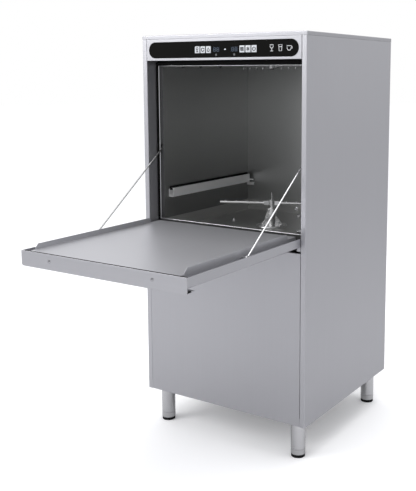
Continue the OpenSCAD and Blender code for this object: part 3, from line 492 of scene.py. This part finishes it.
def stroke(shape, points, width, depth, thickness, closed=False):
    """Flat line of even width along points (x, z), standing thickness mm in front of a depth."""
    count = len(points)
    rows = []
    for i, here in enumerate(points):
        before = points[i - 1] if closed or i else here
        after = points[(i + 1) % count] if closed or i < count - 1 else here
        along = (Vector(after) - Vector(before)).normalized()
        ax, az = -along.y * width / 2, along.x * width / 2
        near = [(here[0] + ax, here[1] + az), (here[0] - ax, here[1] - az)]
        rows.append(ring_at(near, depth - thickness) + ring_at(near[::-1], depth))
    loft(shape, rows, tube=closed)


def bead(shape, start, end, width, depth):
    """Half-round strip on a surface that faces the front."""
    side = (end - start).normalized().cross(BACK)
    steps = [math.pi * i / 8 for i in range(9)]
    rings = []
    for base in (start, end):
        rings.append([base + side * math.cos(t) * width / 2 * MM - BACK * math.sin(t) * depth * MM
                      for t in steps])
    loft(shape, rings)


# Control panel -----------------------------------------------------------------------------

CAP_T = 1.1                          # thickness of a key's cap
STEM_R = 3.0
INK_T = 0.08                         # thickness of print
INK_SINK = 0.01                      # print starts this far inside the surface
SYMBOL_SIZE, SYMBOL_LINE = 6.0, 2.5
PICTURE_SIZE, PICTURE_LINE = 9.0, 1.9
PICTURE_X, PICTURE_PITCH = 184, 29   # middle of the first pictogram, and the step to the next
GLASS_FACE = -0.4                    # depth of the display's front
DIGIT_X, DIGIT_W, DIGIT_H = 6.0, 3.7, 5.4
SEGMENT_W = 1.5
STATUS_DROP = 16                     # from the middle of the keys down to the status lamps


def key_caps():
    """Moulded key with softly rounded rim and its stem, in place of the plain CAD key."""
    for name in KEYS:
        low, high = KEY_EDGES[name]
        x = (low.x + high.x) / 2
        width, height = high.x - low.x, high.z - low.z
        shape = bmesh.new()
        rings = []
        for inset, depth in ((0.9, 0.0), (0.35, 0.12), (0.08, 0.35), (0.0, 0.6), (0.0, CAP_T)):
            outline = rounded_outline(x, KEY_Z, width - 2 * inset, height - 2 * inset, 1.6 - inset * 0.5)
            rings.append(ring_at(outline, low.y + depth))
        loft(shape, rings)
        stem_length = high.y - low.y - CAP_T + 0.1
        turned(shape, point(x, low.y + CAP_T - 0.1, KEY_Z), BACK, [(STEM_R, 0), (STEM_R, stem_length)], 20)
        add_piece(f"{name}_cap", shape, "key_white", body=name, stands_for=(name,))


def glass_lines(x, z, size):
    """Stemmed glass: bowl, rim, stem and foot."""
    half = [(0.34, 0.05), (0.58, 0.45), (0.62, 1.0)]
    bowl = scaled(x, z, size, [(-a, b) for a, b in half[::-1]] + [(0, -0.12)] + half)
    stem = scaled(x, z, size, [(0, -0.1), (0, -0.9)])
    foot = scaled(x, z, size, [(-0.5, -0.95), (0.5, -0.95)])
    return [(bowl, True), (stem, False), (foot, False)]


def repeat_lines(x, z, size):
    """Circle with a gap and an arrow head."""
    tip = scaled(x, z, size, [(0.42, 0.52), (0.95, 0.28), (0.98, 0.86)])
    return [(arc(x, z, size * 0.82, 60, 350, 18), False), (tip, True)]


def drop_lines(x, z, size):
    """Water drop with its point up."""
    outline = arc(x, z - size * 0.3, size * 0.62, -200, 20, 14) + [(x, z + size * 1.05)]
    return [(outline, True)]


def wave_lines(x, z, size):
    """Three rows of waves."""
    wave = [(i / 6 - 1, 0.16 * math.sin(i * math.pi / 2)) for i in range(13)]
    return [(scaled(x, z + size * row, size, wave), False) for row in (-0.62, 0.0, 0.62)]


def star_lines(x, z, size):
    """Six rays."""
    rays = []
    for i in range(6):
        angle = math.radians(30 + 60 * i)
        ray = [(reach * math.cos(angle), reach * math.sin(angle)) for reach in (0.16, 1.0)]
        rays.append((scaled(x, z, size, ray), False))
    return rays


def power_lines(x, z, size):
    """Open circle with a bar at its top."""
    bar = scaled(x, z, size, [(0, 0.1), (0, 1.05)])
    return [(arc(x, z, size * 0.85, 125, 415, 18), False), (bar, False)]


def key_symbols():
    """Dark printed symbol on each key."""
    pictures = (glass_lines, repeat_lines, drop_lines, wave_lines, star_lines, power_lines)
    for name, picture in zip(KEYS, pictures):
        low, high = KEY_EDGES[name]
        shape = bmesh.new()
        for points, closed in picture((low.x + high.x) / 2, KEY_Z, SYMBOL_SIZE):
            stroke(shape, points, SYMBOL_LINE, low.y + INK_SINK, INK_T, closed)
        add_piece(f"{name}_symbol", shape, "overlay_black", DARK_INK, name)


def display_digits():
    """Two seven-segment digits on each display window."""
    for side, s in (("left", -1), ("right", 1)):
        shape = bmesh.new()
        for digit in (-1, 1):
            x = PANEL_CENTRE + s * DISPLAY_OFFSET + digit * DIGIT_X
            bars = [((x - DIGIT_W, KEY_Z + z), (x + DIGIT_W, KEY_Z + z)) for z in (-DIGIT_H, 0, DIGIT_H)]
            for sx in (-DIGIT_W, DIGIT_W):
                bars += [((x + sx, KEY_Z + z), (x + sx, KEY_Z + z + DIGIT_H)) for z in (-DIGIT_H, 0)]
            for (x0, z0), (x1, z1) in bars:
                dx, dz = (SEGMENT_W / 2, 0) if z0 == z1 else (0, SEGMENT_W / 2)
                stroke(shape, [(x0 + dx, z0 + dz), (x1 - dx, z1 - dz)], SEGMENT_W, GLASS_FACE, INK_T)
        add_piece(f"display_digits_{side}", shape, "display_glass", LIT_SEGMENT)


def panel_lamps():
    """Lit lens between the displays, and a grey status lamp with a frame under each display."""
    shape = bmesh.new()
    lens = [rounded_outline(PANEL_CENTRE, KEY_Z, 6.4 - inset, 3.2 - inset, 1.5 - inset / 2)
            for inset in (0, 0, 0.5, 1.4)]
    loft(shape, [ring_at(o, d) for o, d in zip(lens, (-0.7, -1.1, -1.4, -1.6))])
    add_piece("ready_lamp", shape, "display_glass", LIT_LAMP)
    for side, s in (("left", -1), ("right", 1)):
        x = PANEL_CENTRE + s * DISPLAY_OFFSET
        shape = bmesh.new()
        outlines = [rounded_outline(x, KEY_Z - STATUS_DROP, w, w, 0.8) for w in (5.6, 5.6, 4.8)]
        loft(shape, [ring_at(o, d) for o, d in zip(outlines, (-0.38, -0.75, -0.95))])
        add_piece(f"status_lamp_{side}", shape, "display_glass", GREY_LAMP)


def tumbler_lines(x, z, size):
    """Straight glass with the level of its water."""
    walls = scaled(x, z, size, [(-0.62, 1.0), (-0.45, -0.95), (0.45, -0.95), (0.62, 1.0)])
    level = scaled(x, z, size, [(-0.5, 0.35), (0.5, 0.35)])
    return [(walls, True), (level, False)]


def cup_lines(x, z, size):
    """Cup with its handle."""
    half = [(0.3, -0.8), (0.68, -0.4), (0.8, 0.6)]
    bowl = scaled(x, z, size, [(-a, b) for a, b in half[::-1]] + half)
    handle = arc(x + size * 0.78, z + size * 0.05, size * 0.34, -70, 90, 8)
    return [(bowl, True), (handle, False)]


def pictograms():
    """Plain glass, tumbler and cup at the end of the strip, in place of any lettering."""
    shape = bmesh.new()
    for i, picture in enumerate((glass_lines, tumbler_lines, cup_lines)):
        for points, closed in picture(PICTURE_X + PICTURE_PITCH * i, KEY_Z + 1, PICTURE_SIZE):
            stroke(shape, points, PICTURE_LINE, overlay_low.y + INK_SINK, INK_T, closed)
    add_piece("strip_pictograms", shape, "key_white", PALE_INK)


# Mouth of the chamber and small fittings inside ----------------------------------------------

RIM_X = 277.4
RIM_W = 3.6                          # of the upright beads; the level ones are narrower
RIM_T = 1.2


def mouth_rim():
    """Bright bead round the mouth of the chamber."""
    shape = bmesh.new()
    y = frame_low.y
    low, high = LIP_Z - 1, MOUTH_Z + 1
    for side in (-1, 1):
        bead(shape, point(side * RIM_X, y, low), point(side * RIM_X, y, high), RIM_W, RIM_T)
    for z in (low, high):
        bead(shape, point(-RIM_X + 1, y, z), point(RIM_X - 1, y, z), RIM_W * 0.6, RIM_T)
    add_piece("mouth_rim", shape, "chamber_steel", RIM_STEEL)


STOP_L = 31                          # length of the rail stop across the chamber
STOP_DROP = 13                       # its bottom edge below the rail's
SHADE_STRIP_X = 257.0
SHADE_STRIP_T = 3.2
SHADE_STRIP_RISE = 5.0                     # height of the black strip over the rail


def rail_fittings():
    """Folded stop with a screw at the back end of each rail, and a black strip in each rail's channel,
    shaped as a slide strip, that stands for the shadow gap above the rail: painted shade.
    """
    section = [(0, 0), (1.2, -0.6), (1.2, 8.2), (2.4, 9.4), (9, 9.4), (9, 10.6), (1.8, 10.6), (0, 8.8)]
    depth, bottom = rail_high.y + 0.5, rail_low.z - STOP_DROP
    screw = [(3.2, 0), (3.2, 0.9), (2.2, 1.7)]
    low, high = rail_high.z - 8, rail_high.z + SHADE_STRIP_RISE
    half, chamfer = SHADE_STRIP_T / 2, 0.8
    strip = [(-half, low), (half, low), (half, high - chamfer), (half - chamfer, high),
             (chamfer - half, high), (-half, high - chamfer)]
    for side, s in (("left", -1), ("right", 1)):
        shape = bmesh.new()
        loft(shape, [[point(s * (WALL_X - 0.3 - x), depth + y, bottom + z) for y, z in section]
                     for x in (0, STOP_L)])
        turned(shape, point(s * (WALL_X - 20), depth + 0.2, bottom + 4), -BACK, screw, 20)
        add_piece(f"rail_clip_{side}", shape, "bright_steel", CLIP_STEEL)
        # Black strip that stands for the shadow gap above the rail: a dark piece put where there is shade,
        # shaped as a slide strip.
        shape = bmesh.new()
        loft(shape, [[point(s * (SHADE_STRIP_X + x), end, z) for x, z in strip]
                     for end in (rail_low.y + 3, rail_high.y - 3)])
        add_piece(f"rail_shade_strip_{side}", shape, "rubber")


FOOT_PLATE_R = 51.4
FOOT_PLATE_T = 1.5
ROLL_R = 1.4


def arm_foot_rim():
    """Rolled bright edge of the lower arm support's foot plate."""
    low, high = edges_of("lower_arm_support")
    middle = (low + high) / 2
    angles = [math.pi * i / 4 for i in range(8)]
    roll = [(FOOT_PLATE_R + ROLL_R * math.cos(a), FOOT_PLATE_T + ROLL_R * math.sin(a)) for a in angles]
    shape = bmesh.new()
    turned(shape, point(middle.x, middle.y, low.z), UP, roll, 64, tube=True)
    add_piece("arm_foot_rim", shape, "arm_steel", RIM_STEEL)


FLANGE_X = 250
NUT_ROW = (-185, -115, -40)
NUT_DEPTH = 59


def mouth_flange():
    """Return fold behind the top edge of the mouth, with the three nuts that hold it."""
    shape = bmesh.new()
    section = [(52, 0), (66, 0), (67.5, 1.5), (67.5, 9), (66.3, 9), (66.3, 2.2), (65.3, 1.2), (52, 1.2)]
    loft(shape, [[point(x, y, MOUTH_Z + z) for y, z in section] for x in (-FLANGE_X, FLANGE_X)])
    add_piece("mouth_flange", shape, "chamber_steel")
    for number, x in enumerate(NUT_ROW, 1):
        shape = bmesh.new()
        nut = [(4.4, 0), (5.2, 0.6), (5.2, 4.4), (4.4, 5.0)]
        turned(shape, point(x, NUT_DEPTH, MOUTH_Z), -UP, nut, 6)
        turned(shape, point(x, NUT_DEPTH, MOUTH_Z - 4.5), -UP, [(2.4, 0), (2.4, 2), (1.9, 2.5)], 16)
        add_piece(f"flange_nut_{number}", shape, "chamber_steel", DARK_STEEL)


PROBE_X, PROBE_DEPTH = -159, 306
SENSOR_X, SENSOR_DEPTH = -8, 500
STUD_X, STUD_Z = -47, 667


def tank_fittings():
    """Temperature probe and level sensor on the tank floor, and a stud on the back wall."""
    shape = bmesh.new()
    probe = [(8, 0), (8, 2.4), (7.2, 3.2), (4.4, 3.2), (4, 4.0), (4, 7), (3.2, 9), (1.4, 10)]
    turned(shape, point(PROBE_X, PROBE_DEPTH, TANK_FLOOR), UP, probe)
    add_piece("tank_probe", shape, "arm_steel", MATERIALS["plain_steel"])
    shape = bmesh.new()
    sensor = [(7, 0), (7, 6), (5.5, 8), (3, 9)]
    stud = [(8, 0), (8, 2.5), (5, 3.5), (5, 8), (3.8, 9.2)]
    turned(shape, point(SENSOR_X, SENSOR_DEPTH, TANK_FLOOR), UP, sensor, 24)
    turned(shape, point(STUD_X, CHAMBER_BACK, STUD_Z), -BACK, stud, 24)
    add_piece("level_sensors", shape, "bright_steel")


# Door edge ------------------------------------------------------------------------------------

SEAL_ENDS = (-271, 279)
CAP_X = 176
CAP_RISE = 24                        # height of the screw caps over the door's underside


def door_edge():
    """Black sealing bead between the lip and the inner panel, and the two screw caps of the lip."""
    top = door_low.z + DOOR_T
    front = door_low.y
    section = [(1.6, -0.6), (7.8, -0.6), (7.8, 0.1), (6.6, 0.4), (2.6, 0.4), (1.6, 0.1)]
    shape = bmesh.new()
    loft(shape, [[point(x, front + y, top + z) for y, z in section] for x in SEAL_ENDS])
    add_piece("door_edge_seal", shape, "rubber", body="door")
    shape = bmesh.new()
    dimple = [(5.4, 0.3), (5.4, 0.02), (4.6, -0.18), (3.4, -0.12), (2.2, 0.25)]

    def oval(step, row):
        return 1.0 + 0.25 * abs(math.cos(math.pi * step / 12))

    for x in (-CAP_X, CAP_X):
        turned(shape, point(x, front, door_low.z + CAP_RISE), BACK, dimple, 24, swell=oval)
    add_piece("lip_screw_caps", shape, "brushed_casing", CAP_STEEL, "door")


# Screws, louvres and connections ----------------------------------------------------------------

def screw_head(shape, place, axis, radius):
    """Pan head with a cross recess."""
    rows = [(1, 0), (1, 0.12), (0.9, 0.3), (0.66, 0.42), (0.42, 0.46), (0.36, 0.16)]

    def cross(step, row):
        return 1.0 if row < 4 or step % 6 == 0 else 0.42

    turned(shape, place, axis, [(radius * r, radius * d) for r, d in rows], 24, swell=cross)


SIDE_SCREWS_Z = (262, 480, 730, 980)
TOP_SCREWS_X = (-180, -60, 60, 180)
HEAD_R = 4
BOLT_L = 17.5


def panel_screws():
    """Rear screws and leg bolts, in place of the plain CAD ones."""
    shape = bmesh.new()
    face = rear_high.y
    side_x, top_z = screw_high.x - HEAD_R, screw_high.z - HEAD_R
    for z in SIDE_SCREWS_Z + (top_z - 15,):
        for side in (-1, 1):
            screw_head(shape, point(side * side_x, face, z), BACK, HEAD_R)
    for x in TOP_SCREWS_X:
        screw_head(shape, point(x, face, top_z), BACK, HEAD_R)
    bolt_head = [(7.2, 0), (8, 0.6), (8, 5.2), (7.2, 6)]
    for node in ("foot_front_left", "foot_front_right", "foot_back_left", "foot_back_right"):
        low, high = edges_of(node)
        middle = (low + high) / 2
        foot = point(middle.x, middle.y, screw_low.z)
        turned(shape, foot, UP, [(4.4, 0), (4.9, 0.6), (4.9, BOLT_L)], 20)
        turned(shape, foot + UP * BOLT_L * MM, UP, bolt_head, 6)
    add_piece("screws_and_bolts", shape, "bright_steel", stands_for=("panel_screws",))


LOUVRE_ROWS, LOUVRE_PITCH, LOUVRE_Z = 8, 18, 300
LOUVRE_COLUMN = 120                  # between the middles of two columns


def louvre_hoods():
    """Pressed hood over each cooling slot of the rear panel."""
    outer = [(-0.2, 6.5), (1.6, 5.6), (3.0, 3.2), (3.3, 0.2)]
    inner = [(2.6, 0.2), (2.3, 2.9), (1.1, 4.7), (-0.2, 5.4)]
    shape = bmesh.new()
    ends = [(44, 0.06), (40, 0.75), (36, 1.0)]
    along = [(-offset, swell) for offset, swell in ends] + ends[::-1]
    for row in range(LOUVRE_ROWS):
        low = LOUVRE_Z + row * LOUVRE_PITCH
        for column in (-1, 0, 1):
            x = column * LOUVRE_COLUMN
            loft(shape, [[point(x + offset, rear_high.y + y * swell, low + z) for y, z in outer + inner]
                         for offset, swell in along])
    add_piece("louvre_hoods", shape, "brushed_casing")


INLET_RISE = 16                      # axis of the inlet over the valve's lowest edge
THREAD_PITCH, THREAD_TURNS = 2.4, 9
GLAND_NUT_L = 16


def connections():
    """Thread of the water inlet and the grip ribs of the lead gland's nut."""
    length = THREAD_TURNS * THREAD_PITCH
    thread = []
    for i in range(THREAD_TURNS):
        thread += [(13.3, i * THREAD_PITCH), (13.9, i * THREAD_PITCH + THREAD_PITCH / 2)]
    thread += [(12.9, length), (12.9, 0)]
    start = inlet_high.y - length - 1
    middle = (inlet_low + inlet_high) / 2
    shape = bmesh.new()
    turned(shape, point(middle.x, start, inlet_low.z + INLET_RISE), BACK, thread, 40, tube=True)
    add_piece("inlet_thread", shape, "white_plastic")
    middle = (gland_low + gland_high) / 2
    ribs = [(13.1, 0), (13.8, 1), (13.8, 13), (13.1, 14), (12.6, 14), (12.6, 0)]

    def grooved(step, row):
        return 1.0 if step % 3 or row > 3 else 0.965

    shape = bmesh.new()
    place = point(middle.x, gland_high.y - GLAND_NUT_L, middle.z)
    turned(shape, place, BACK, ribs, 60, tube=True, swell=grooved)
    add_piece("gland_ribs", shape, "black_plastic")


# Light, floor and camera ---------------------------------------------------------------

def studio_world():
    """Soft white room, a little darker on the machine's right and plain white where it is seen."""
    world = bpy.data.worlds.new("studio")
    bpy.context.scene.world = world
    world.use_nodes = True
    tree = world.node_tree
    tree.nodes.clear()
    place = tree.nodes.new("ShaderNodeTexCoord").outputs["Generated"]
    toward = tree.nodes.new("ShaderNodeVectorMath")
    toward.operation = "DOT_PRODUCT"
    toward.inputs[1].default_value = Vector((-0.62, -0.50, 0.60)).normalized()
    tree.links.new(place, toward.inputs[0])
    light = tree.nodes.new("ShaderNodeBackground")
    level = remap(tree, toward.outputs["Value"], 0.72, 1.08, -0.9, 0.8)
    tree.links.new(level, light.inputs["Strength"])
    light.inputs["Color"].default_value = (0.98, 0.985, 1.0, 1.0)
    seen = tree.nodes.new("ShaderNodeBackground")
    seen.inputs["Color"].default_value = (1.0, 1.0, 1.0, 1.0)
    paths = tree.nodes.new("ShaderNodeLightPath")
    choose = tree.nodes.new("ShaderNodeMixShader")
    tree.links.new(paths.outputs["Is Camera Ray"], choose.inputs[0])
    tree.links.new(light.outputs[0], choose.inputs[1])
    tree.links.new(seen.outputs[0], choose.inputs[2])
    out = tree.nodes.new("ShaderNodeOutputWorld")
    tree.links.new(choose.outputs[0], out.inputs["Surface"])


def soft_light(name, place, target, size, power):
    """Square lamp that points at a target."""
    light = bpy.data.lights.new(name, "AREA")
    light.shape = "SQUARE"
    light.size = size
    light.energy = power
    holder = bpy.data.objects.new(name, light)
    bpy.context.scene.collection.objects.link(holder)
    holder.location = place
    holder.rotation_mode = "QUATERNION"
    holder.rotation_quaternion = (Vector(target) - Vector(place)).to_track_quat("-Z", "Y")


def floor_disc(radius=30.0, sides=96):
    """Pale studio floor just under the feet. It is seen white, and throws less light back."""
    mesh = bpy.data.meshes.new("studio_floor")
    shape = bmesh.new()
    bmesh.ops.create_circle(shape, cap_ends=True, radius=radius, segments=sides)
    shape.to_mesh(mesh)
    shape.free()
    floor = bpy.data.objects.new("studio_floor", mesh)
    floor.location.z = -0.2 * MM
    bpy.context.scene.collection.objects.link(floor)
    material, tree, shader = principled("studio_floor")
    cloud = noise(tree, 0.8)
    pale = blend_colour(tree, cloud, (0.94, 0.94, 0.95), (0.97, 0.97, 0.98))
    seen = tree.nodes.new("ShaderNodeLightPath").outputs["Is Camera Ray"]
    tree.links.new(blend_colour(tree, seen, (0.60, 0.60, 0.61), pale), shader.inputs["Base Color"])
    tree.links.new(remap(tree, cloud, 0.85, 0.95), shader.inputs["Roughness"])
    shader.inputs["Specular IOR Level"].default_value = 0.0
    shader.inputs["Emission Color"].default_value = (1.0, 1.0, 1.0, 1.0)
    tree.links.new(remap(tree, seen, 0.04, 0.10), shader.inputs["Emission Strength"])
    mesh.materials.append(material)


def photo_camera():
    """Camera in front of the machine's right corner, a little below its top, looking slightly down."""
    yaw, tilt = math.radians(32.46), math.radians(7.5)
    data = bpy.data.cameras.new("camera")
    data.sensor_width = 36.0
    data.lens = 58.66
    data.shift_x = -0.106
    data.shift_y = -0.1317
    camera = bpy.data.objects.new("camera", data)
    bpy.context.scene.collection.objects.link(camera)
    camera.location = (1.4035, -2.0052, 1.1556)
    forward = Vector((-math.sin(yaw) * math.cos(tilt), math.cos(yaw) * math.cos(tilt), -math.sin(tilt)))
    camera.rotation_mode = "QUATERNION"
    camera.rotation_quaternion = forward.to_track_quat("-Z", "Y")
    bpy.context.scene.camera = camera


photo_camera()
dress_nodes()
key_caps()
key_symbols()
display_digits()
panel_lamps()
pictograms()
mouth_rim()
rail_fittings()
arm_foot_rim()
mouth_flange()
tank_fittings()
door_edge()
panel_screws()
louvre_hoods()
connections()
floor_disc()
studio_world()
soft_light("key_light", (-2.2, -2.6, 2.6), (0, 0, 0.7), 2.0, 60)
soft_light("top_light", (0.3, 0.2, 3.2), (0, 0, 0.5), 2.4, 45)
bpy.context.scene.view_settings.view_transform = "Standard"
